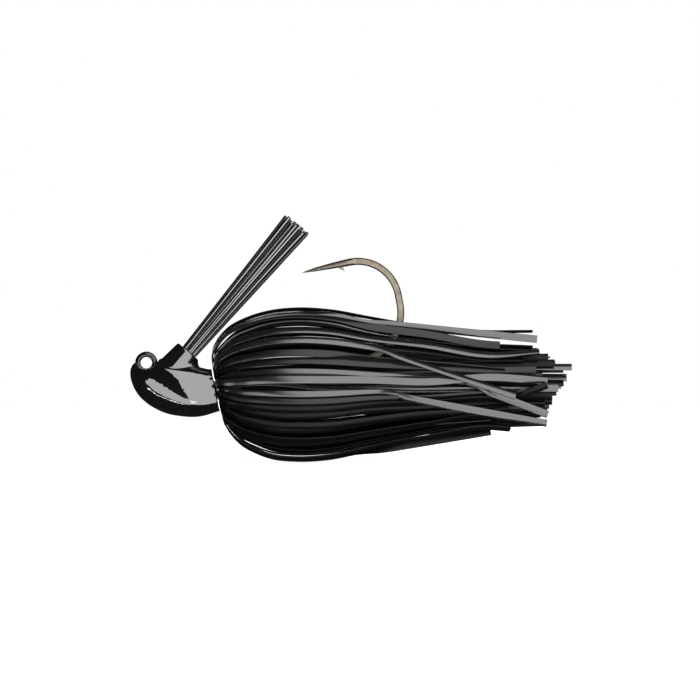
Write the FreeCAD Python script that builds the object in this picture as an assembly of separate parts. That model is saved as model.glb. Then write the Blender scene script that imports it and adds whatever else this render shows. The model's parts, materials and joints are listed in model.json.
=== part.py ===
import FreeCAD
import Part
import math
import os

# Skirted flipping jig: a lead head cast round a hook, with a fibre weed guard and a silicone skirt.
# Millimetres. X runs from nose to tail, Z is up, and the origin is the centre of the line-tie eye.
# "Shank frame": u runs along the hook shank towards the tail, w stands square to it, u = 0 is the
# rear face of the head.

# Hook
SHANK_TILT = 11.0        # degrees the shank rises towards the tail
EYE_TO_REAR = 13.88      # along the shank, eye centre to the rear face of the head
EYE_RISE = 8.82          # eye centre above the shank's centre line
HOOK_ANGLE = 60.0        # degrees between the stem and the shank
EYE_BORE_R = 1.25        # reamed hole for the line or snap
EYE_WIRE_D = 1.30
EYE_REAM = 0.05          # how far the hole is opened past the bent wire's own radius
WIRE_D = 1.60
JIG_BEND_R = 2.6         # centre-line radius of the bend buried in the head
GAPE = 22.0              # shank centre line to the centre line of the point's leg
REACH = 43.35            # rear face of the head to the far side of the bend, centre line
LOW_BEND_R = 11.0
HIGH_BEND_R = 9.0
FORGED_T = 1.20          # thickness across the flattened bend
FORGE_RAMP = 3.0         # length over which the flats run out
FORGE_LEAD = 2.0         # how far the flats start ahead of the lower bend
FORGE_STOP = 1.0         # how far they stop short of the point's leg
POINT_U = 23.5           # where the point ends, along the shank
POINT_DROP = 0.28        # how far the tip hangs below the leg's centre line
POINT_TAPER = ((31.2, 1.42), (27.6, 1.0), (24.6, 0.42), (POINT_U, 0.06))
BARB_ROOT_U = 30.9
BARB_TIP = (32.79, 1.75)     # u, and how far the barb's tip hangs under the point's centre line
BARB_BACK = 0.25         # length of the barb's steep rear face
BARB_W = 0.62

# Head: stations along the shank as (u, lowest w, highest w, half width)
HEAD_STATIONS = (
    (-17.98, 5.45, 6.55, 0.35),
    (-17.78, 4.30, 7.70, 1.10),
    (-17.15, 2.48, 8.85, 2.05),
    (-16.05, 0.70, 9.60, 2.85),
    (-14.40, -1.05, 9.80, 3.60),
    (-12.20, -2.70, 9.60, 4.25),
    (-9.60, -3.92, 8.80, 4.75),
    (-6.60, -4.80, 7.70, 4.95),
    (-3.40, -5.08, 6.35, 4.75),
    (0.0, -4.72, 4.85, 4.25),
)
HEAD_SQUARENESS = 2.25   # 2 is an ellipse, higher is fuller at the corners
LOFT_DEGREE = 3          # higher degrees pinch the head before its rear face
SADDLE_R = 2.9           # rounded notch that leaves the eye open from both sides
SADDLE_DROP = 1.42       # eye centre to the bottom of the notch
NECK_R = 1.95
NECK_LEN = 6.3
LIP_R = 2.15             # barbed lip that stops the skirt sliding off
LIP_LEN = 1.7
LIP_END_R = 1.2

# Weed guard
GUARD_LEAN = 49.8        # degrees above +X
MOUTH = (9.48, 2.44)     # x, z of the socket's mouth centre
SOCKET_D = 3.97          # 5/32 in drill
SOCKET_DEPTH = 6.35      # 1/4 in
BOSS_R = 3.05
BOSS_OFFSET = 0.25       # the boss is thicker on the nose side of the socket
BOSS_FLARE = 6.0         # degrees the boss widens towards the head, each side
BOSS_DEPTH = 7.2
BOSS_FILLET = 1.1
MOUTH_FILLET = 0.35
BUTT_GAP = 0.02          # glue line round and under the guard's butt
PIVOT_RISE = 1.3         # bending centre of the fibres above the socket's mouth
DISH_R = 2.75            # spherical dish the fibres' roots swing in
ROOT_GAP = 0.30          # from the dish to the fibres' roots
FIBRE_D = 0.70
FIBRE_PITCH = 0.72
FIBRE_END = 36.9         # mouth to the longest tips
TIP_RAGGED = 0.45
FAN = 2.08               # how much wider the fan is at its tips, in the plane of the hook
SPLIT_TOP = 1.85         # half the gap between the two halves of the fan at its tips, to fibre centres
COLUMN_TOP = 0.78        # spacing of the fibre columns at the tips

# Skirt
STRAND_W = 1.50          # a free strand
STRAND_T = 0.28
COLLARED_W = 1.00        # the same strand squeezed narrower, and so thicker, under the collar
SIDE_GAP = 0.05          # between neighbours of one layer under the collar
LAYERS = 3
LIP_GAP = 0.04           # between the head's lip and the innermost layer
LAYER_GAP = 0.08
COLLAR_FRONT = 2.30
COLLAR_LEN = 3.60
COLLAR_GAP = 0.09
COLLAR_WALL = 0.90
COLLAR_ROUND = 0.35
FOLD_U = 2.10            # every fold turns about one ring, at this place along the shank
FOLD_BEND = 0.60         # bend radius of the outermost layer's fold
SKIRT_BEND = 12.6        # length over which the outer skirt sags from the shank's line to level
INNER_SAG = 16.0         # the same for the inner legs, behind the collar
SKIRT_AXIS_Z = -4.80
OUTER_PROFILE = (
    (0.50, 6.2), (0.78, 8.4), (1.85, 10.5), (4.3, 13.15), (7.6, 14.95), (12.0, 16.35),
    (18.0, 16.95), (25.0, 16.50), (34.0, 14.55), (46.0, 12.45), (60.0, 10.45), (74.0, 10.3),
)
BULB_STEP = 1.0          # spacing of the layers in the bulb
BULB_EVEN = 0.65         # 1 shares the bulb out evenly between all strands, 0 keeps each layer's own angles
BULB_SIDE = 0.80         # width of the bulb as a share of its height
BULB_SPAN = (4.0, 22.0, 52.0)    # where it is flattened from, fully up to, and round again
INNER_STATIONS = (6.5, 13.0, 22.0, 34.0, 50.0)
TAIL_GAP = 0.45          # between neighbours of one layer of inner legs at the tail
SPREAD_LEN = 34.0        # behind the collar, over which the strands spread and widen
STAGGER = (0.25, 0.75, 0.25)     # where each layer's first strand stands, in strand spacings
OUTER_PART = (14.5, 20.0, 20.5)  # degrees from the top that the strands are spread away from
INNER_PART = (30.0, 21.0, 19.0)
INNER_PART_LEN = 16.0
TOP_LIFT = 0.075         # the strands each side of the parting stand a little prouder
TOP_SPAN = 45.0
OUTER_END = (66.5, 6.0)  # mean end of the outer legs, and how far it varies
INNER_END = (73.2, 3.0)
END_SLANT = 3.2          # the upper inner legs end this much behind the mean, the lower ones before it
STRAYS = {0: 1.3, 6: 0.5}        # outermost strands whose tails stand out from the rest, and how far
LOOSE = (20.0, 40.0)     # where the outer legs start to wander, and over what length it builds up
OUTER_WANDER = (3.2, 2.6, 2.0)   # degrees either way, by layer
OUTER_WAVE = 0.30        # in and out
INNER_WANDER = 1.6
INNER_WAVE = 0.22

Y = FreeCAD.Vector(0, 1, 0)
TILT = math.radians(SHANK_TILT)
ALONG = FreeCAD.Vector(math.cos(TILT), 0, math.sin(TILT))
SQUARE = FreeCAD.Vector(-math.sin(TILT), 0, math.cos(TILT))
REAR = ALONG * EYE_TO_REAR - SQUARE * EYE_RISE
LEAN = math.radians(GUARD_LEAN)
GUARD_AXIS = FreeCAD.Vector(math.cos(LEAN), 0, math.sin(LEAN))
GUARD_UP = FreeCAD.Vector(-math.sin(LEAN), 0, math.cos(LEAN))
MOUTH_AT = FreeCAD.Vector(MOUTH[0], 0, MOUTH[1])
PIVOT = MOUTH_AT + GUARD_AXIS * PIVOT_RISE
COLLARED_T = STRAND_W * STRAND_T / COLLARED_W
COLLAR_BACK = COLLAR_FRONT + COLLAR_LEN


def at(u, w, y=0.0):
    """Point in the shank frame."""
    return REAR + ALONG * u + SQUARE * w + Y * y


def on_guard(a, v, y=0.0):
    """Point a above the socket's mouth, v towards the nose side and y across."""
    return MOUTH_AT + GUARD_AXIS * a + GUARD_UP * v + Y * y


def ease(t):
    """0 to 1 with flat ends."""
    t = min(max(t, 0.0), 1.0)
    return t * t * (3.0 - 2.0 * t)


def ragged(n, spread):
    """Repeatable uneven value between -spread and spread."""
    return spread * math.sin(12.9898 * n + 4.1 * math.sin(2.37 * n))


def circle(centre, normal, radius):
    return Part.Wire(Part.makeCircle(radius, centre, normal))


# Hook

def hook_path():
    """Centre line from the eye to the start of the point's taper, as joined edges."""
    turn = math.radians(HOOK_ANGLE)
    corner_u = -EYE_TO_REAR + EYE_RISE / math.tan(turn)
    cut = JIG_BEND_R * math.tan(turn / 2.0)
    start = at(-EYE_TO_REAR, EYE_RISE)
    to_corner = (at(corner_u, 0) - start).normalize()
    ring_r = EYE_BORE_R - EYE_REAM + EYE_WIRE_D / 2.0
    stem_top = start + to_corner * ring_r
    stem_end = at(corner_u, 0) - to_corner * cut
    bend_out = at(corner_u + cut, 0)
    middle = at(corner_u + cut, JIG_BEND_R)
    bend_mid = middle - (middle - at(corner_u, 0)).normalize() * JIG_BEND_R
    low = at(REACH - LOW_BEND_R, 0)
    low_c = at(REACH - LOW_BEND_R, LOW_BEND_R)
    half = math.sqrt(0.5)
    low_mid = low_c + (ALONG - SQUARE) * (LOW_BEND_R * half)
    side_low = at(REACH, LOW_BEND_R)
    side_high = at(REACH, GAPE - HIGH_BEND_R)
    high_c = at(REACH - HIGH_BEND_R, GAPE - HIGH_BEND_R)
    high_mid = high_c + (ALONG + SQUARE) * (HIGH_BEND_R * half)
    leg = at(REACH - HIGH_BEND_R, GAPE)
    edges = [
        Part.makeLine(stem_top, stem_end),
        Part.Arc(stem_end, bend_mid, bend_out).toShape(),
        Part.makeLine(bend_out, low),
        Part.Arc(low, low_mid, side_low).toShape(),
        Part.makeLine(side_low, side_high),
        Part.Arc(side_high, high_mid, leg).toShape(),
    ]
    return Part.Wire(edges), stem_top, to_corner


def forge_cutter(side):
    """Block that flattens one side of the bend, with sloping ends so that the flat runs out."""
    low_u = REACH - LOW_BEND_R - FORGE_LEAD
    high_u = REACH - HIGH_BEND_R + FORGE_STOP
    room = 2.0 * WIRE_D
    def plate(y, grow):
        corners = (
            (low_u - grow, -room),
            (REACH + room, -room),
            (REACH + room, GAPE + room),
            (high_u - grow, GAPE + room),
            (high_u - grow, GAPE - room),
            (low_u - grow, room),
        )
        points = [at(u, w, side * y) for u, w in corners]
        return Part.makePolygon(points + points[:1])
    inner = plate(FORGED_T / 2.0, 0.0)
    outer = plate(FORGED_T / 2.0 + WIRE_D / 2.0, FORGE_RAMP)
    return Part.makeLoft([inner, outer], True, True)


def make_hook():
    path, stem_top, stem_way = hook_path()
    body = path.makePipeShell([circle(stem_top, stem_way, WIRE_D / 2.0)], True, False)
    body = body.cut(forge_cutter(1)).cut(forge_cutter(-1))
    ring_r = EYE_BORE_R - EYE_REAM + EYE_WIRE_D / 2.0
    ring = Part.makeTorus(ring_r, EYE_WIRE_D / 2.0, FreeCAD.Vector(0, 0, 0), Y)
    point = [circle(at(REACH - HIGH_BEND_R, GAPE), ALONG, WIRE_D / 2.0)]
    leg_u = REACH - HIGH_BEND_R
    for u, dia in POINT_TAPER:
        drop = POINT_DROP * ((leg_u - u) / (leg_u - POINT_U)) ** 2
        point.append(circle(at(u, GAPE - drop), ALONG, dia / 2.0))
    needle = Part.makeLoft(point, True, False)
    under = GAPE - POINT_TAPER[0][1] / 4.0
    barb_outline = [
        at(BARB_ROOT_U, under, -BARB_W / 2.0),
        at(BARB_TIP[0], GAPE - BARB_TIP[1], -BARB_W / 2.0),
        at(BARB_TIP[0] - BARB_BACK, under, -BARB_W / 2.0),
    ]
    barb = Part.Face(Part.makePolygon(barb_outline + barb_outline[:1])).extrude(Y * BARB_W)
    wire = body.fuse([ring, needle, barb])
    ream = Part.makeCylinder(EYE_BORE_R, 4.0 * EYE_WIRE_D, Y * (-2.0 * EYE_WIRE_D), Y)
    return wire.cut(ream).removeSplitter().Solids[0]


# Head

def head_section(u, low, high, half_width):
    """Closed, slightly squared oval across the shank."""
    middle = (low + high) / 2.0
    tall = (high - low) / 2.0
    points = []
    for k in range(16):
        a = 2.0 * math.pi * k / 16
        power = 2.0 / HEAD_SQUARENESS
        y = math.copysign(abs(math.cos(a)) ** power, math.cos(a)) * half_width
        w = math.copysign(abs(math.sin(a)) ** power, math.sin(a)) * tall
        points.append(at(u, middle + w, y))
    curve = Part.BSplineCurve()
    curve.interpolate(Points=points, PeriodicFlag=True)
    return Part.Wire(curve.toShape())


def boss_radius(a):
    return BOSS_R - a * math.tan(math.radians(BOSS_FLARE))


def on_boss_wall(point):
    """True where a point lies on the boss's wall, below its mouth."""
    rel = point - on_guard(0, BOSS_OFFSET)
    a = rel.dot(GUARD_AXIS)
    out = (rel - GUARD_AXIS * a).Length
    return a < -0.3 and abs(out - boss_radius(a)) < 0.03


def edge_points(edge):
    first, last = edge.ParameterRange
    return [edge.valueAt(first + (last - first) * t) for t in (0.15, 0.5, 0.85)]


def make_head(hook):
    sections = [head_section(*station) for station in HEAD_STATIONS]
    body = Part.makeLoft(sections, True, False, False, LOFT_DEGREE)
    boss = Part.makeCone(
        boss_radius(-BOSS_DEPTH), BOSS_R, BOSS_DEPTH, on_guard(-BOSS_DEPTH, BOSS_OFFSET), GUARD_AXIS
    )
    rim = [e for e in boss.Edges if all(abs((p - MOUTH_AT).dot(GUARD_AXIS)) < 0.01 for p in edge_points(e))]
    boss = boss.makeFillet(MOUTH_FILLET, rim)
    head = body.fuse(boss)
    joint = [e for e in head.Edges if all(on_boss_wall(p) for p in edge_points(e))]
    head = head.makeFillet(BOSS_FILLET, joint)
    neck = Part.makeCylinder(NECK_R, NECK_LEN + 0.5, at(-0.5, 0), ALONG)
    lip = Part.makeCone(LIP_R, LIP_END_R, LIP_LEN, at(NECK_LEN, 0), ALONG)
    head = head.fuse([neck, lip])
    saddle_at = FreeCAD.Vector(0, -8.0, SADDLE_R - SADDLE_DROP)
    head = head.cut(Part.makeCylinder(SADDLE_R, 16.0, saddle_at, Y))
    socket = Part.makeCylinder(SOCKET_D / 2.0, SOCKET_DEPTH + 2.0, on_guard(-SOCKET_DEPTH, 0), GUARD_AXIS)
    return head.cut([socket, dish(), hook]).Solids[0]


# Weed guard

def dish(less=0.0):
    """Ball about the fibres' bending centre, with its poles out to the sides."""
    return Part.makeSphere(DISH_R - less, PIVOT, Y)


def make_butt():
    radius = SOCKET_D / 2.0 - BUTT_GAP
    bottom = -SOCKET_DEPTH + BUTT_GAP
    plug = Part.makeCylinder(radius, -bottom, on_guard(bottom, 0), GUARD_AXIS)
    return plug.cut(dish())


def fibre_column(side, column):
    """Fibres of one column: their base spots lie on a hexagonal grid."""
    spread = FIBRE_PITCH * math.cos(math.radians(30.0))
    y0 = side * (FIBRE_PITCH / 2.0 + column * spread)
    y1 = side * (SPLIT_TOP + column * COLUMN_TOP)
    rows = ((-2, -1, 0, 1, 2), (-1.5, -0.5, 0.5, 1.5), (0,))[column]
    above = Part.makeCylinder(2.0 * SOCKET_D, 2.0 * FIBRE_END, PIVOT, GUARD_AXIS)
    keep = above.fuse(dish(ROOT_GAP))
    fibres = []
    for row in rows:
        v0 = row * FIBRE_PITCH
        base = on_guard(PIVOT_RISE - DISH_R, v0, y0)
        end = FIBRE_END + ragged(7 * row + 3 * column + 5 * side, TIP_RAGGED) - TIP_RAGGED
        top = on_guard(end, v0 * FAN, y1)
        rod = Part.makeCylinder(FIBRE_D / 2.0, (top - base).Length, base, top - base)
        fibres.append(rod.common(keep))
    return Part.makeCompound(fibres)


# Skirt

def outer_frame(s):
    """Centre and upright direction of the outer skirt at s behind the head."""
    radius = SKIRT_BEND / TILT
    t = min(s, SKIRT_BEND) / radius
    x = REAR.x + radius * (math.sin(TILT) - math.sin(TILT - t))
    z = REAR.z + radius * (math.cos(TILT - t) - math.cos(TILT))
    lean = TILT - t
    x += max(s - SKIRT_BEND, 0.0)
    return FreeCAD.Vector(x, 0, z), FreeCAD.Vector(-math.sin(lean), 0, math.cos(lean))


def inner_frame(s):
    """The same for the inner legs: straight under the collar, then sagging level."""
    if s <= COLLAR_BACK:
        return at(s, 0), SQUARE
    first = at(COLLAR_BACK, 0)
    t = min((s - COLLAR_BACK) / INNER_SAG, 1.0)
    slope = math.tan(TILT)
    rise = slope * INNER_SAG * t * (1.0 - t) ** 2 + (SKIRT_AXIS_Z - first.z) * ease(t)
    lean = math.atan(slope * (1.0 - t) * (1.0 - 3.0 * t))
    centre = FreeCAD.Vector(first.x + (s - COLLAR_BACK), 0, first.z + rise)
    return centre, FreeCAD.Vector(-math.sin(lean), 0, math.cos(lean))


def layer_radius(layer):
    """Middle of a layer of strands under the collar."""
    return LIP_R + LIP_GAP + COLLARED_T / 2.0 + layer * (COLLARED_T + LAYER_GAP)


def layer_count(layer):
    """As many strands as fit side by side round the layer."""
    return int(2.0 * math.pi * (layer_radius(layer) - COLLARED_T / 2.0) / (COLLARED_W + SIDE_GAP))


def collar_angle(layer, index):
    return (index + STAGGER[layer]) * 360.0 / layer_count(layer)


def bulb_angles():
    """Angle of every strand in the bulb, which the layers share out in the order they stand in."""
    strands = [(layer, index) for layer in range(LAYERS) for index in range(layer_count(layer))]
    strands.sort(key=lambda strand: collar_angle(*strand))
    share = 360.0 / len(strands)
    angles = {}
    for rank, strand in enumerate(strands):
        own = collar_angle(*strand)
        angles[strand] = own + ((rank + 0.5) * share - own) * BULB_EVEN
    return angles


def parted(angle, part):
    """Spread a strand's angle away from the top, which is left to the guard and the hook."""
    side = 1.0 if angle < 180.0 else -1.0
    off_top = angle if side > 0 else 360.0 - angle
    return side * (part + off_top * (180.0 - part) / 180.0)


def profile_spot(layer, k):
    """Outer profile point k for a layer, moved in from the outermost layer."""
    s, r = OUTER_PROFILE[k]
    before = OUTER_PROFILE[max(k - 1, 0)]
    after = OUTER_PROFILE[min(k + 1, len(OUTER_PROFILE) - 1)]
    ds = after[0] - before[0]
    dr = after[1] - before[1]
    long = math.hypot(ds, dr)
    tight = COLLARED_T + LAYER_GAP
    step = tight + (BULB_STEP - tight) * ease(k / 4.0)
    return s + layer * step * dr / long, r - layer * step * ds / long


def tail_radius(layer):
    """Radius of a layer's inner legs at the tail, where its strands lie side by side again."""
    around = layer_count(layer) * (STRAND_W + TAIL_GAP)
    return around / (2.0 * math.pi) * 180.0 / (180.0 - INNER_PART[layer])


def flattening(s):
    """Width of the bulb as a share of its height, at s behind the head."""
    first, full, last = BULB_SPAN
    return 1.0 - (1.0 - BULB_SIDE) * ease(s / first) * (1.0 - ease((s - full) / (last - full)))


def strand_seed(layer, index):
    return 31 * layer + index


def inner_stations(layer, index, straight, inside):
    """Stations from the inner tail to the collar: frame, radius, angle, flattening and freedom."""
    r0 = layer_radius(layer)
    seed = strand_seed(layer, index)
    end = INNER_END[0] + ragged(seed + 0.4, INNER_END[1]) + END_SLANT * math.cos(math.radians(inside))
    stations = []
    for s in (end,) + INNER_STATIONS[::-1]:
        free = ease((s - COLLAR_BACK) / SPREAD_LEN)
        r = r0 + (tail_radius(layer) - r0 + ragged(seed + 0.1 * s, INNER_WAVE)) * free
        turn = straight + (inside - straight) * ease((s - COLLAR_BACK) / INNER_PART_LEN)
        turn += ragged(seed * 1.7 + 0.05 * s, INNER_WANDER) * free
        stations.append((inner_frame(s), r, turn, 1.0, free))
    return stations


def fold_stations(layer, straight):
    """Stations of the turn round the collar's front, where the strand is still squeezed."""
    r0 = layer_radius(layer)
    centre = layer_radius(LAYERS - 1) + FOLD_BEND
    stations = []
    for degrees in (0.0, 45.0, 90.0):
        a = math.radians(degrees)
        s = FOLD_U - (centre - r0) * math.sin(a)
        r = centre - (centre - r0) * math.cos(a)
        stations.append((inner_frame(s), r, straight, 1.0, 0.0))
    return stations


def outer_stations(layer, index, straight, outside, tail):
    """Stations from the fold over the bulb to the outer tail, with the angles it has at each."""
    front = FOLD_U - (layer_radius(LAYERS - 1) + FOLD_BEND - layer_radius(layer))
    seed = strand_seed(layer, index)
    stray = STRAYS.get(index, 0.0) if layer == 0 else 0.0
    stop = OUTER_END[0] + ragged(seed + 0.7, OUTER_END[1])
    lift = TOP_LIFT * ease(1.0 - (abs(outside) - OUTER_PART[layer]) / TOP_SPAN)
    last = len(OUTER_PROFILE) - 1
    stations = []
    for k in range(last + 1):
        s, r = profile_spot(layer, k)
        if k == 0:
            s = front
        if k == last:
            s = stop
        free = ease((k + 1) / 5.0)
        loose = ease((s - LOOSE[0]) / LOOSE[1])
        turn = straight + (outside - straight) * free
        turn += (tail - outside + ragged(seed * 2.3 + 0.04 * s, OUTER_WANDER[layer])) * loose
        r += (stray + ragged(seed * 0.9 + 0.06 * s, OUTER_WAVE)) * loose + lift * r * free
        stations.append((outer_frame(s), r, turn, flattening(s), free))
    return stations


def strand_stations(layer, index, bulb_angle):
    """Stations of one strand from its inner tail, through the collar and fold, to its outer tail."""
    angle = collar_angle(layer, index)
    straight = angle if angle < 180.0 else angle - 360.0
    inside = parted(angle, INNER_PART[layer])
    outside = parted(bulb_angle, OUTER_PART[layer])
    outside = straight + (outside - straight + 180.0) % 360.0 - 180.0
    tail = parted(angle, OUTER_PART[layer])
    inner = inner_stations(layer, index, straight, inside)
    outer = outer_stations(layer, index, straight, outside, tail)
    return inner + fold_stations(layer, straight) + outer


def ribbon(spots, across, widths):
    """Flat-sided ribbon through spots, as one closed solid of triangles. Its section area is constant."""
    rings = []
    for k, spot in enumerate(spots):
        way = (spots[min(k + 1, len(spots) - 1)] - spots[max(k - 1, 0)]).normalize()
        wide = (across[k] - way * across[k].dot(way)).normalize()
        thick = way.cross(wide)
        wide = wide * (widths[k] / 2.0)
        thick = thick * (STRAND_W * STRAND_T / widths[k] / 2.0)
        rings.append([spot + wide + thick, spot - wide + thick, spot - wide - thick, spot + wide - thick])
    faces = []
    def triangle(a, b, c):
        faces.append(Part.Face(Part.makePolygon([a, b, c, a])))
    for near, far in zip(rings, rings[1:]):
        for k in range(4):
            n = (k + 1) % 4
            triangle(near[k], near[n], far[n])
            triangle(near[k], far[n], far[k])
    for ring in (rings[0], rings[-1]):
        triangle(ring[0], ring[1], ring[2])
        triangle(ring[0], ring[2], ring[3])
    solid = Part.Solid(Part.Shell(faces))
    if solid.Volume < 0:
        solid.reverse()
    return solid


def make_strand(layer, index, bulb_angle):
    spots = []
    across = []
    widths = []
    for (centre, upright), r, turn, flat, free in strand_stations(layer, index, bulb_angle):
        a = math.radians(turn)
        spots.append(centre + upright * (r * math.cos(a)) + Y * (flat * r * math.sin(a)))
        across.append(Y * (flat * math.cos(a)) - upright * math.sin(a))
        widths.append(COLLARED_W + (STRAND_W - COLLARED_W) * free)
    return ribbon(spots, across, widths)


def make_collar():
    inner = layer_radius(LAYERS - 1) + COLLARED_T / 2.0 + COLLAR_GAP
    outer = inner + COLLAR_WALL
    ring = Part.makeCylinder(outer, COLLAR_LEN, at(COLLAR_FRONT, 0), ALONG)
    ring = ring.cut(Part.makeCylinder(inner, COLLAR_LEN, at(COLLAR_FRONT, 0), ALONG))
    rims = [e for e in ring.Edges if len(e.Vertexes) == 1 and abs(e.Length - 2 * math.pi * outer) < 0.01]
    return ring.makeFillet(COLLAR_ROUND, rims)


def export(name, shape):
    shape.exportStep("parts/" + name + ".step")


os.makedirs("parts", exist_ok=True)
the_hook = make_hook()
export("hook", the_hook)
export("head", make_head(the_hook))
export("guard_butt", make_butt())
for side, side_name in ((-1, "left"), (1, "right")):
    for column, column_name in enumerate(("inner", "middle", "outer")):
        export("guard_fibres_" + side_name + "_" + column_name, fibre_column(side, column))
export("skirt_collar", make_collar())
number = 0
in_the_bulb = bulb_angles()
for layer in range(LAYERS):
    for index in range(layer_count(layer)):
        number += 1
        export("skirt_strand_%02d" % number, make_strand(layer, index, in_the_bulb[layer, index]))
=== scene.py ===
import bpy
import json
import math
import random
from mathutils import Matrix, Vector


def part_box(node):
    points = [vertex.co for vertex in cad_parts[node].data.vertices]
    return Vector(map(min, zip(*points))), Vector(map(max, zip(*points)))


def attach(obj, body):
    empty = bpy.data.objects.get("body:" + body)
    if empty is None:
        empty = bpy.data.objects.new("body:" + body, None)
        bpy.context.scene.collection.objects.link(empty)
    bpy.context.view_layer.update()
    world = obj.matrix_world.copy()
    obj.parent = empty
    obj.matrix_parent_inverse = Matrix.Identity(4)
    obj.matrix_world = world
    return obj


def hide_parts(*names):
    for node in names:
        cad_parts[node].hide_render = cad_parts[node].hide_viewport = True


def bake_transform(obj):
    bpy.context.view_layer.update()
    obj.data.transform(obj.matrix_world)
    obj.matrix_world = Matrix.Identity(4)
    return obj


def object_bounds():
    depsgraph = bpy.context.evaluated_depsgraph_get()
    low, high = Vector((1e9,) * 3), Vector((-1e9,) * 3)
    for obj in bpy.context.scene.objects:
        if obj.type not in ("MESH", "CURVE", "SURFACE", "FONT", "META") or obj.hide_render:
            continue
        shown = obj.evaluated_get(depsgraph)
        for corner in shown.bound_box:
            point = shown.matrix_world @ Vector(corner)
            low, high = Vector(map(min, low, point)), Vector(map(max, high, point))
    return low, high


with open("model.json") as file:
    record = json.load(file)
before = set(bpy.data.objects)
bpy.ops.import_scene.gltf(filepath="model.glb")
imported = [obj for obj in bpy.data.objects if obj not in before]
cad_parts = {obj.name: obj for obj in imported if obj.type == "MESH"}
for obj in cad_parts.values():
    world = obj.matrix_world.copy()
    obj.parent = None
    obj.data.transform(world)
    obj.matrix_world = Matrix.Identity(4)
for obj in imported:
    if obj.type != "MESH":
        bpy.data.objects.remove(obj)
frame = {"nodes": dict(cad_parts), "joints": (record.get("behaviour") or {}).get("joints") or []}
cad_low, cad_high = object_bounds()

# Looks of the skirted jig round its CAD frame. Metres; MM turns a size in millimetres into metres.
MM = 0.001
BODY = "lure"

# Photo: one pixel is 0.22 mm, and the line-tie eye, which is the frame's origin, is at EYE_PX.
PX = 0.22 * MM
PHOTO_PX = 700
EYE_PX = (146.4, 362.7)
LENS_MM = 200.0
SENSOR_MM = 36.0

# Light. White is for the camera only: the photo's gloss mirrors a dark room, not its white ground.
LAMP_AWAY = 0.40            # from the head's middle to each soft box
SOFT = 1.9                  # radiance of the large soft boxes
ROOM = 0.02                 # strength of the dark room
FLOOR_SIDE = 1.6
FLOOR_DROP = 0.3 * MM       # below the skirt
FLOOR_MIDDLE_X = 45.0 * MM
FLOOR_FADE = (0.03, 0.16)   # away from that middle, where the camera's white grows from FLOOR_GLOW to 1
FLOOR_GLOW = 0.85

# Head casting
HEAD_VOXEL = 0.09 * MM
HEAD_SMOOTH_STEPS = 9

# The hook's eye and the stem below it wear the head's paint, up to this far from the eye's centre.
EYE_PAINTED = 4.5 * MM

# Guard fibres
FIBRE_R = 0.35 * MM
FIBRE_SIDES = 12
FIBRE_STATIONS = 22
FIBRE_BOW = 0.22 * MM
# Those that catch the light in the photo
# These bundles get the painted-highlight nylon, the others the painted-shade copy.
FRONT_FIBRES = ("guard_fibres_left_outer", "guard_fibres_left_middle")

# Skirt ribbons. Strands are named by their number.
TAIL_AXIS_Z = -4.8 * MM  # the inner tails end nearer to this line than the outer ones
EDGE_ROUND = 0.07 * MM
STEPS_PER_SPAN = 6
ROLL_BULB = 11.0         # degrees a ribbon may be turned about its own length in the bulb
TWIST_MOST = 42.0        # the same by its tail
DRIFT_MOST = 0.7 * MM    # sideways wander of a ribbon by its tail
WIDER = 1.10             # free ribbons next to the CAD's, to close slits in the bulb
LOOSE_FROM = 24.0 * MM   # along X, where ribbons start to wander
LOOSE_OVER = 55.0 * MM
SWING = math.radians(6.0)
# How far a ribbon is moved up in the bulb, in mm, and where along X the bulb begins, is full, narrows and ends
SETTLED = {"02": 0.15, "05": 0.30, "06": 0.30, "08": -0.45, "15": -0.45, "19": 0.15}
BULB = (17.0 * MM, 25.0 * MM, 44.0 * MM, 56.0 * MM)
# Tails laid straight: from where along X in mm, slope, and their y at last in mm
SWEPT = {
    "12": (49.0, -0.34, -11.6), "44": (50.0, -0.18, -12.0), "45": (67.0, -0.38, -11.5),
    "43": (76.0, 0.35, -12.1), "29": (46.0, -0.10, -5.2), "07": (44.0, 0.165, -0.8),
}
SWEEP_OVER = 7.0 * MM
# Tails that turn flat on: from where along X in mm, and by how many degrees
TURNED = {"29": (32.0, 60.0), "27": (36.0, 55.0), "13": (40.0, 40.0), "07": (44.0, 75.0)}
TURN_OVER = 14.0
# Strands that are light in the photo, and those half as light
# Both lists wear painted highlights: copies of the one black silicone with a lighter base colour and a higher
# IOR, less so for the second list.
PAINTED_HIGHLIGHT_STRANDS = ("11", "12", "28", "44", "45", "29")
PAINTED_HALF_HIGHLIGHT_STRANDS = ("23", "25", "27", "42", "46", "13")

rng = random.Random(7)
guard_joint = frame["joints"][0]
pivot = Vector(guard_joint["pos_m"])


# Small helpers

def new_object(name, verts, faces, smooth=True):
    mesh = bpy.data.meshes.new(name)
    mesh.from_pydata([tuple(v) for v in verts], [], faces)
    mesh.validate()
    mesh.update()
    obj = bpy.data.objects.new(name, mesh)
    bpy.context.scene.collection.objects.link(obj)
    if smooth:
        mesh.polygons.foreach_set("use_smooth", [True] * len(mesh.polygons))
    return obj


def welded(node):
    """Distinct points of a CAD node and its triangles over them."""
    mesh = frame["nodes"][node].data
    index = {}
    points = []
    spot = []
    for vertex in mesh.vertices:
        key = tuple(round(c * 1e7) for c in vertex.co)
        if key not in index:
            index[key] = len(points)
            points.append(vertex.co.copy())
        spot.append(index[key])
    faces = []
    for polygon in mesh.polygons:
        corners = [spot[i] for i in polygon.vertices]
        if len(set(corners)) == len(corners):
            faces.append(corners)
    return points, faces


def neighbours(count, faces):
    near = [set() for _ in range(count)]
    for corners in faces:
        for a, b in zip(corners, corners[1:] + corners[:1]):
            near[a].add(b)
            near[b].add(a)
    return near


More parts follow.
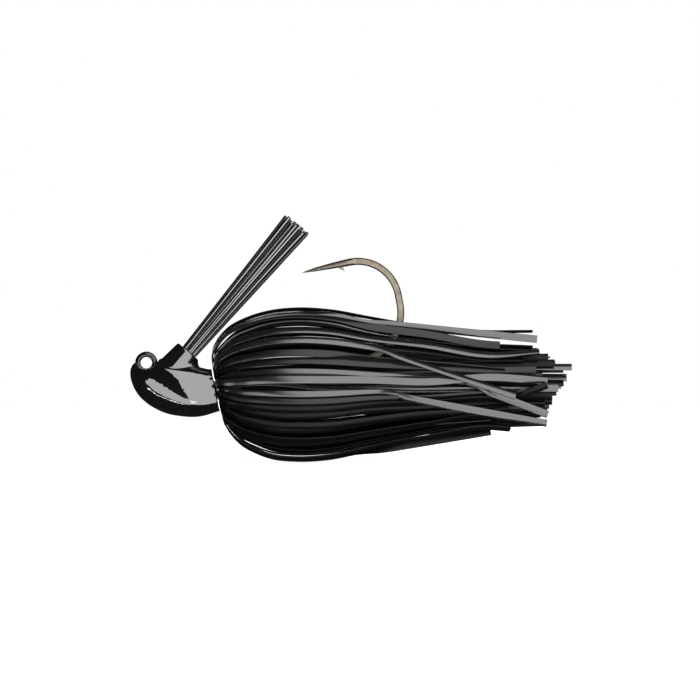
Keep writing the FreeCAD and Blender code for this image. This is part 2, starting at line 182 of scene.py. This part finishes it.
def islands(count, faces):
    """Groups of points that triangles join."""
    near = neighbours(count, faces)
    left = set(range(count))
    groups = []
    while left:
        stack = [left.pop()]
        group = []
        while stack:
            i = stack.pop()
            group.append(i)
            found = near[i] & left
            left -= found
            stack.extend(found)
        groups.append(group)
    return groups


def stand_in(node):
    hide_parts(node)


def ease(t):
    t = min(max(t, 0.0), 1.0)
    return t * t * (3.0 - 2.0 * t)


# Materials: object coordinates are metres, so a noise scale of 1000 has features near 1 mm.

def material(name, base, rough, metallic=0.0, coat=0.0, grain=1500.0, stretch=1.0, rough_spread=0.05,
             bump=0.02, tint_spread=0.0, ior=1.5):
    """Stretch above 1 draws the grain out into streaks along X."""
    mat = bpy.data.materials.new(name)
    mat.use_nodes = True
    nodes = mat.node_tree.nodes
    links = mat.node_tree.links
    bsdf = nodes["Principled BSDF"]
    bsdf.inputs["Metallic"].default_value = metallic
    bsdf.inputs["IOR"].default_value = ior
    bsdf.inputs["Coat Weight"].default_value = coat
    bsdf.inputs["Coat Roughness"].default_value = 0.03
    where = nodes.new("ShaderNodeTexCoord")
    drawn = nodes.new("ShaderNodeMapping")
    drawn.inputs["Scale"].default_value = (1.0 / stretch, 1.0, 1.0)
    noise = nodes.new("ShaderNodeTexNoise")
    noise.inputs["Scale"].default_value = grain
    noise.inputs["Detail"].default_value = 4.0
    links.new(where.outputs["Object"], drawn.inputs["Vector"])
    links.new(drawn.outputs["Vector"], noise.inputs["Vector"])
    spread = nodes.new("ShaderNodeMapRange")
    spread.inputs["To Min"].default_value = rough - rough_spread
    spread.inputs["To Max"].default_value = rough + rough_spread
    links.new(noise.outputs["Fac"], spread.inputs["Value"])
    links.new(spread.outputs["Result"], bsdf.inputs["Roughness"])
    tint = nodes.new("ShaderNodeValToRGB")
    tint.color_ramp.elements[0].position = 0.35
    tint.color_ramp.elements[1].position = 0.70
    tint.color_ramp.elements[0].color = [c * (1.0 - tint_spread) for c in base] + [1.0]
    tint.color_ramp.elements[1].color = [c * (1.0 + tint_spread) for c in base] + [1.0]
    links.new(noise.outputs["Fac"], tint.inputs["Fac"])
    links.new(tint.outputs["Color"], bsdf.inputs["Base Color"])
    ripple = nodes.new("ShaderNodeBump")
    ripple.inputs["Strength"].default_value = bump
    ripple.inputs["Distance"].default_value = 0.1 * MM
    links.new(noise.outputs["Fac"], ripple.inputs["Height"])
    links.new(ripple.outputs["Normal"], bsdf.inputs["Normal"])
    return mat


paint = material("gloss_black_paint", (0.004, 0.004, 0.005), 0.035, coat=1.0, grain=260.0,
                 rough_spread=0.012, bump=0.008, tint_spread=0.3, ior=2.35)
# The eye's copy of the head paint has a lower IOR and a thinner coat so that the ring reflects less: painted
# shade.
eye_paint_painted_shade = material("eye_black_paint_painted_shade", (0.004, 0.004, 0.005), 0.06, coat=0.4, grain=260.0,
                     rough_spread=0.012, bump=0.008, tint_spread=0.3, ior=1.6)
steel = material("black_nickel_steel", (0.25, 0.212, 0.17), 0.30, metallic=1.0, grain=900.0,
                 rough_spread=0.04, bump=0.02, tint_spread=0.25)
# One black nylon in two copies: the first with a coat and a raised IOR as painted highlight, the second with
# less as painted shade; the guard butt wears the first.
painted_highlight_nylon, shaded_nylon = [
    material(name, (0.003, 0.003, 0.004), rough, coat=coat, grain=420.0, rough_spread=0.02, bump=0.004,
             tint_spread=0.3, ior=ior)
    for name, rough, coat, ior in (("gloss_nylon", 0.09, 1.0, 3.4), ("shaded_nylon", 0.22, 0.0, 1.75))
]
rubber = material("collar_rubber", (0.008, 0.008, 0.008), 0.55, grain=2500.0, rough_spread=0.08, bump=0.2,
                  tint_spread=0.3)
# One black silicone in three lit and shaded copies that differ in base shade, roughness and IOR: the dark
# copy, with the lowest IOR, is painted shade, the other two carry painted highlights.
dark_silicone, painted_half_highlight_silicone, painted_highlight_silicone = [
    material("skirt_silicone_" + name, (shade, shade, shade * 1.05), rough, grain=2600.0, stretch=14.0,
             rough_spread=0.05, bump=0.05, tint_spread=0.35, ior=ior)
    for name, shade, rough, ior in (
        ("dark", 0.004, 0.34, 1.30), ("satin", 0.006, 0.30, 1.52), ("painted_highlight", 0.010, 0.24, 2.15),
    )
]


# Head: the casting's mesh rebuilt evenly, so that its paint mirrors without facets.

def cast_head():
    points, faces = welded("head")
    obj = new_object("head_casting", points, faces)
    even = obj.modifiers.new("even", "REMESH")
    even.mode = "VOXEL"
    even.voxel_size = HEAD_VOXEL
    even.use_smooth_shade = True
    soft = obj.modifiers.new("soft", "SMOOTH")
    soft.factor = 0.5
    soft.iterations = HEAD_SMOOTH_STEPS
    baked = bpy.data.meshes.new_from_object(obj.evaluated_get(bpy.context.evaluated_depsgraph_get()))
    obj.modifiers.clear()
    obj.data = baked
    obj.data.materials.clear()
    obj.data.materials.append(paint)
    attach(obj, BODY)
    stand_in("head")


# Hook, guard butt and collar: the CAD forms with smooth shading.

def shaded_copy(node, name, mat, keep=None):
    """Copy of a CAD node, or of its triangles whose corners keep() accepts."""
    points, faces = welded(node)
    if keep:
        faces = [f for f in faces if keep(sum((points[i] for i in f), Vector()) / 3.0)]
    obj = new_object(name, points, faces)
    obj.data.set_sharp_from_angle(angle=math.radians(35.0))
    obj.data.materials.append(mat)
    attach(obj, BODY)
    stand_in(node)


# Guard fibres: tubes between the ends of each CAD fibre, bowed a little.

def tube(path, radius, sides):
    verts = []
    for k, spot in enumerate(path):
        way = (path[min(k + 1, len(path) - 1)] - path[max(k - 1, 0)]).normalized()
        side = way.cross(Vector((0, 1, 0))).normalized()
        other = way.cross(side)
        for n in range(sides):
            a = 2.0 * math.pi * n / sides
            verts.append(spot + (side * math.cos(a) + other * math.sin(a)) * radius)
    faces = []
    for k in range(len(path) - 1):
        for n in range(sides):
            m = (n + 1) % sides
            faces.append((k * sides + n, k * sides + m, (k + 1) * sides + m, (k + 1) * sides + n))
    last = (len(path) - 1) * sides
    faces.append(tuple(range(sides))[::-1])
    faces.append(tuple(last + n for n in range(sides)))
    return verts, faces


def fibre_bundle(node):
    points, faces = welded(node)
    verts = []
    quads = []
    for group in islands(len(points), faces):
        spots = sorted((points[i] for i in group), key=lambda p: (p - pivot).dot(guard_way))
        span = (spots[-1] - spots[0]).dot(guard_way)
        low = [p for p in spots if (p - spots[0]).dot(guard_way) < 0.04 * span]
        high = [p for p in spots if (spots[-1] - p).dot(guard_way) < 0.02 * span]
        base = sum(low, Vector()) / len(low)
        top = sum(high, Vector()) / len(high)
        bow = Vector((rng.uniform(-1, 1), rng.uniform(-1, 1), rng.uniform(-1, 1))) * FIBRE_BOW
        path = []
        for k in range(FIBRE_STATIONS + 1):
            t = k / FIBRE_STATIONS
            path.append(base.lerp(top, t) + bow * math.sin(math.pi * t) * t)
        more, rims = tube(path, FIBRE_R, FIBRE_SIDES)
        start = len(verts)
        verts.extend(more)
        quads.extend(tuple(start + i for i in f) for f in rims)
    obj = new_object(node + "_nylon", verts, quads)
    obj.data.set_sharp_from_angle(angle=math.radians(50.0))
    # Front bundles get the painted-highlight nylon, the rest the painted-shade copy.
    obj.data.materials.append(painted_highlight_nylon if node in FRONT_FIBRES else shaded_nylon)
    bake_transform(obj)
    stand_in(node)


# Skirt: each CAD strand is a chain of four-cornered rings. A ribbon follows them smoothly.

def strand_rings(node):
    """Rings of a strand from its inner tail to its outer one: centre, across, half width, half thickness."""
    points, faces = welded(node)
    near = neighbours(len(points), faces)
    ends = [i for i in range(len(points)) if len(near[i]) < 6]
    axis = Vector((0.0, 0.0, TAIL_AXIS_Z))
    first = min(ends, key=lambda i: (Vector((0.0, points[i].y, points[i].z)) - axis).length)
    ring = sorted(ends, key=lambda i: (points[i] - points[first]).length)[:4]
    seen = set(ring)
    rings = []
    while ring:
        spots = [points[i] for i in ring]
        centre = sum(spots, Vector()) / len(spots)
        pairs = [(a, b) for n, a in enumerate(spots) for b in spots[n + 1:]]
        pairs.sort(key=lambda ab: (ab[0] - ab[1]).length)
        side = pairs[2][0] - pairs[2][1]
        wide = side.normalized()
        if rings and wide.dot(rings[-1][1]) < 0:
            wide.negate()
        rings.append((centre, wide, side.length / 2.0, (pairs[0][0] - pairs[0][1]).length / 2.0))
        found = set()
        for i in ring:
            found |= near[i] - seen
        seen |= found
        ring = sorted(found)
    return rings


def smooth_path(spots):
    """Cubic through every spot, with STEPS_PER_SPAN steps between two of them."""
    lengths = [(b - a).length for a, b in zip(spots, spots[1:])]
    slopes = []
    for k in range(len(spots)):
        if k == 0:
            slopes.append((spots[1] - spots[0]) / lengths[0])
        elif k == len(spots) - 1:
            slopes.append((spots[-1] - spots[-2]) / lengths[-1])
        else:
            before = (spots[k] - spots[k - 1]) / lengths[k - 1]
            after = (spots[k + 1] - spots[k]) / lengths[k]
            share = lengths[k - 1] / (lengths[k - 1] + lengths[k])
            slopes.append(before * (1.0 - share) + after * share)
    path = []
    for k, long in enumerate(lengths):
        for step in range(STEPS_PER_SPAN):
            t = step / STEPS_PER_SPAN
            path.append(
                spots[k] * (2 * t ** 3 - 3 * t ** 2 + 1) + slopes[k] * (long * (t ** 3 - 2 * t ** 2 + t))
                + spots[k + 1] * (3 * t ** 2 - 2 * t ** 3) + slopes[k + 1] * (long * (t ** 3 - t ** 2))
            )
    path.append(spots[-1])
    return path


def ribbon_mesh(path, across, sizes, turns):
    """Flat ribbon with rounded edges along a path; sizes are half width and half thickness at each step."""
    verts = []
    for k, spot in enumerate(path):
        way = (path[min(k + 1, len(path) - 1)] - path[max(k - 1, 0)]).normalized()
        wide = (across[k] - way * across[k].dot(way)).normalized()
        thick = way.cross(wide)
        c = math.cos(turns[k])
        s = math.sin(turns[k])
        flat = wide * c + thick * s
        up = thick * c - wide * s
        w, h = sizes[k]
        e = EDGE_ROUND
        outline = ((w, -h + e), (w, h - e), (w - e, h), (0, h), (-w + e, h), (-w, h - e), (-w, -h + e),
                   (-w + e, -h), (0, -h), (w - e, -h))
        verts.extend(spot + flat * a + up * b for a, b in outline)
    sides = len(outline)
    faces = []
    for k in range(len(path) - 1):
        for n in range(sides):
            m = (n + 1) % sides
            faces.append((k * sides + n, k * sides + m, (k + 1) * sides + m, (k + 1) * sides + n))
    last = (len(path) - 1) * sides
    faces.append(tuple(range(sides))[::-1])
    faces.append(tuple(last + n for n in range(sides)))
    return verts, faces


def looseness(spot):
    """0 near the head, 1 at the tail: how free a ribbon is to wander."""
    return ease((spot.x - LOOSE_FROM) / LOOSE_OVER)


def settle(spot, number):
    """Small move up or down that evens the ribbons out in the bulb."""
    first, full, narrow, last = BULB
    share = ease((spot.x - first) / (full - first)) * (1.0 - ease((spot.x - narrow) / (last - narrow)))
    return Vector((0.0, 0.0, SETTLED.get(number, 0.0) * MM * share))


def sweep(path, fold, number):
    """Lays the outer tail of some ribbons straight."""
    if number not in SWEPT:
        return
    start, slope, last_y = SWEPT[number]
    first = next(k for k in range(fold, len(path)) if path[k].x > start * MM)
    base = path[first].copy()
    for k in range(first, len(path)):
        past = path[k].x - base.x
        share = ease(past / SWEEP_OVER)
        path[k].z += (base.z + slope * past - path[k].z) * share
        path[k].y += (last_y * MM - path[k].y) * share


def skirt_strand(node):
    number = node[-2:]
    rings = strand_rings(node)
    path = smooth_path([ring[0] for ring in rings])
    fold = min(range(len(path)), key=lambda k: path[k].x)
    phase = rng.uniform(0.0, 2.0 * math.pi)
    wave = rng.uniform(0.035, 0.06)
    roll = math.radians(rng.uniform(-ROLL_BULB, ROLL_BULB))
    twist = math.radians(rng.uniform(-TWIST_MOST, TWIST_MOST))
    drift = rng.uniform(-DRIFT_MOST, DRIFT_MOST)
    lift = rng.uniform(-0.4, 0.4) * DRIFT_MOST
    if number in PAINTED_HIGHLIGHT_STRANDS or number in SWEPT:
        roll *= 0.4
        twist *= 0.2
        drift *= 0.3
    turn_from, turn_by = TURNED.get(number, (0.0, 0.0))
    across = []
    sizes = []
    turns = []
    for k, spot in enumerate(path):
        t = k / STEPS_PER_SPAN
        a = min(int(t), len(rings) - 2)
        near, far = rings[a], rings[a + 1]
        f = t - a
        across.append(near[1].lerp(far[1], f).normalized())
        half = near[2] + (far[2] - near[2]) * f
        spread = ease((half / MM - 0.5) / 0.25)
        sizes.append((half * (1.0 + (WIDER - 1.0) * spread), near[3] + (far[3] - near[3]) * f))
        free = looseness(spot)
        swing = math.sin(spot.x / wave * 2.0 * math.pi + phase)
        turns.append(roll * spread + twist * free + SWING * swing * (0.4 * spread + free))
        out = across[k].cross(Vector((1, 0, 0)))
        path[k] = spot + across[k] * (drift * free * (0.6 + 0.4 * swing)) + out * (lift * free)
        if k > fold:
            path[k] += settle(spot, number)
            turns[-1] += math.radians(turn_by) * ease((spot.x / MM - turn_from) / TURN_OVER)
    sweep(path, fold, number)
    verts, faces = ribbon_mesh(path, across, sizes, turns)
    obj = new_object(node + "_ribbon", verts, faces)
    obj.data.set_sharp_from_angle(angle=math.radians(60.0))
    # Listed strands get the painted-highlight copies of the silicone, the rest the painted-shade one.
    mat = dark_silicone
    if number in PAINTED_HIGHLIGHT_STRANDS:
        mat = painted_highlight_silicone
    elif number in PAINTED_HALF_HIGHLIGHT_STRANDS:
        mat = painted_half_highlight_silicone
    obj.data.materials.append(mat)
    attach(obj, BODY)
    stand_in(node)


def guard_direction():
    """Along the fibres, from the pivot to the middle of their tips."""
    tips = Vector()
    for node in fibre_nodes:
        low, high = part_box(node)
        tips += Vector((high.x, (low.y + high.y) / 2.0, high.z))
    middle = tips / len(fibre_nodes)
    return (Vector((middle.x, 0.0, middle.z)) - pivot).normalized()


fibre_nodes = sorted(n for n in frame["nodes"] if n.startswith("guard_fibres"))
strand_nodes = sorted(n for n in frame["nodes"] if n.startswith("skirt_strand"))
guard_way = guard_direction()

cast_head()
shaded_copy("hook", "hook_wire", steel, lambda p: p.length > EYE_PAINTED)
# The eye and the stem take the less glossy copy of the paint, as painted shade.
shaded_copy("hook", "hook_eye_painted", eye_paint_painted_shade, lambda p: p.length <= EYE_PAINTED)
shaded_copy("guard_butt", "guard_butt_fused", painted_highlight_nylon)
shaded_copy("skirt_collar", "skirt_collar_ring", rubber)
for node in fibre_nodes:
    fibre_bundle(node)
for node in strand_nodes:
    skirt_strand(node)


# Room, floor, soft boxes and camera

def backdrop():
    world = bpy.data.worlds.new("room")
    bpy.context.scene.world = world
    world.use_nodes = True
    nodes = world.node_tree.nodes
    links = world.node_tree.links
    nodes.clear()
    out = nodes.new("ShaderNodeOutputWorld")
    mix = nodes.new("ShaderNodeMixShader")
    seen = nodes.new("ShaderNodeLightPath")
    white = nodes.new("ShaderNodeBackground")
    white.inputs["Color"].default_value = (1.0, 1.0, 1.0, 1.0)
    white.inputs["Strength"].default_value = 1.0
    dark = nodes.new("ShaderNodeBackground")
    dark.inputs["Color"].default_value = (0.9, 0.95, 1.0, 1.0)
    dark.inputs["Strength"].default_value = ROOM
    links.new(seen.outputs["Is Camera Ray"], mix.inputs["Fac"])
    links.new(dark.outputs["Background"], mix.inputs[1])
    links.new(white.outputs["Background"], mix.inputs[2])
    links.new(mix.outputs["Shader"], out.inputs["Surface"])


def floor(height):
    size = FLOOR_SIDE / 2.0
    corners = [(x, y, height) for x, y in ((-size, -size), (size, -size), (size, size), (-size, size))]
    obj = new_object("floor", corners, [(0, 1, 2, 3)], smooth=False)
    mat = bpy.data.materials.new("floor_white")
    mat.use_nodes = True
    nodes = mat.node_tree.nodes
    links = mat.node_tree.links
    matte = nodes["Principled BSDF"]
    matte.inputs["Base Color"].default_value = (0.8, 0.8, 0.8, 1.0)
    matte.inputs["Roughness"].default_value = 0.9
    matte.inputs["Specular IOR Level"].default_value = 0.0
    # The camera sees white, and near the part a faint shadow
    place = nodes.new("ShaderNodeNewGeometry")
    away = nodes.new("ShaderNodeVectorMath")
    away.operation = "DISTANCE"
    away.inputs[1].default_value = (FLOOR_MIDDLE_X, 0.0, height)
    near = nodes.new("ShaderNodeMapRange")
    near.inputs["From Min"].default_value = FLOOR_FADE[0]
    near.inputs["From Max"].default_value = FLOOR_FADE[1]
    near.inputs["To Min"].default_value = FLOOR_GLOW
    near.inputs["To Max"].default_value = 1.0
    glow = nodes.new("ShaderNodeEmission")
    lit = nodes.new("ShaderNodeAddShader")
    seen = nodes.new("ShaderNodeLightPath")
    mix = nodes.new("ShaderNodeMixShader")
    links.new(place.outputs["Position"], away.inputs[0])
    links.new(away.outputs["Value"], near.inputs["Value"])
    links.new(near.outputs["Result"], glow.inputs["Strength"])
    links.new(glow.outputs["Emission"], lit.inputs[0])
    links.new(matte.outputs["BSDF"], lit.inputs[1])
    links.new(seen.outputs["Is Camera Ray"], mix.inputs["Fac"])
    links.new(matte.outputs["BSDF"], mix.inputs[1])
    links.new(lit.outputs["Shader"], mix.inputs[2])
    links.new(mix.outputs["Shader"], nodes["Material Output"].inputs["Surface"])
    obj.data.materials.append(mat)
    obj.visible_glossy = False
    obj.visible_shadow = False


def soft_box(name, target, azimuth, elevation, wide, tall, radiance, roll=0.0):
    """Area lamp that faces target. Azimuth 0 is at the camera and grows to its right. Roll is in degrees."""
    a = math.radians(azimuth)
    e = math.radians(elevation)
    back = Vector((math.sin(a) * math.cos(e), -math.cos(a) * math.cos(e), math.sin(e)))
    lamp = bpy.data.lights.new(name, "AREA")
    lamp.shape = "RECTANGLE"
    lamp.size = wide
    lamp.size_y = tall
    lamp.energy = radiance * math.pi * wide * tall
    obj = bpy.data.objects.new(name, lamp)
    bpy.context.scene.collection.objects.link(obj)
    obj.location = target + back * LAMP_AWAY
    obj.visible_camera = False
    obj.rotation_mode = "QUATERNION"
    turn = Matrix.Rotation(math.radians(roll), 4, "Z").to_quaternion()
    obj.rotation_quaternion = (-back).to_track_quat("-Z", "Y") @ turn


def main_camera():
    cam = bpy.data.cameras.new("camera")
    cam.lens = LENS_MM
    cam.sensor_width = SENSOR_MM
    obj = bpy.data.objects.new("camera", cam)
    bpy.context.scene.collection.objects.link(obj)
    across = PHOTO_PX * PX
    distance = across * LENS_MM / SENSOR_MM
    middle_x = (PHOTO_PX / 2.0 - EYE_PX[0]) * PX
    middle_z = (EYE_PX[1] - PHOTO_PX / 2.0) * PX
    obj.location = (middle_x, -distance, middle_z)
    obj.rotation_euler = (math.radians(90.0), 0.0, 0.0)
    cam.clip_start = 0.01
    cam.clip_end = 10.0
    bpy.context.scene.camera = obj


head_low, head_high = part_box("head")
head_middle = (head_low + head_high) / 2.0
backdrop()
floor(cad_low[2] - FLOOR_DROP)
soft_box("main_box", head_middle, 32.0, 8.0, 0.57, 1.30, SOFT)
soft_box("wing_box", head_middle, -21.0, -23.0, 0.44, 0.14, SOFT, -50.0)
soft_box("low_strip", head_middle, -34.0, -34.0, 0.30, 0.012, 6.0, -50.0)
soft_box("back_box", head_middle + Vector((0.03, 0.0, 0.0)), 178.0, 14.0, 0.50, 0.34, SOFT)
main_camera()
bpy.context.scene.view_settings.view_transform = "Standard"
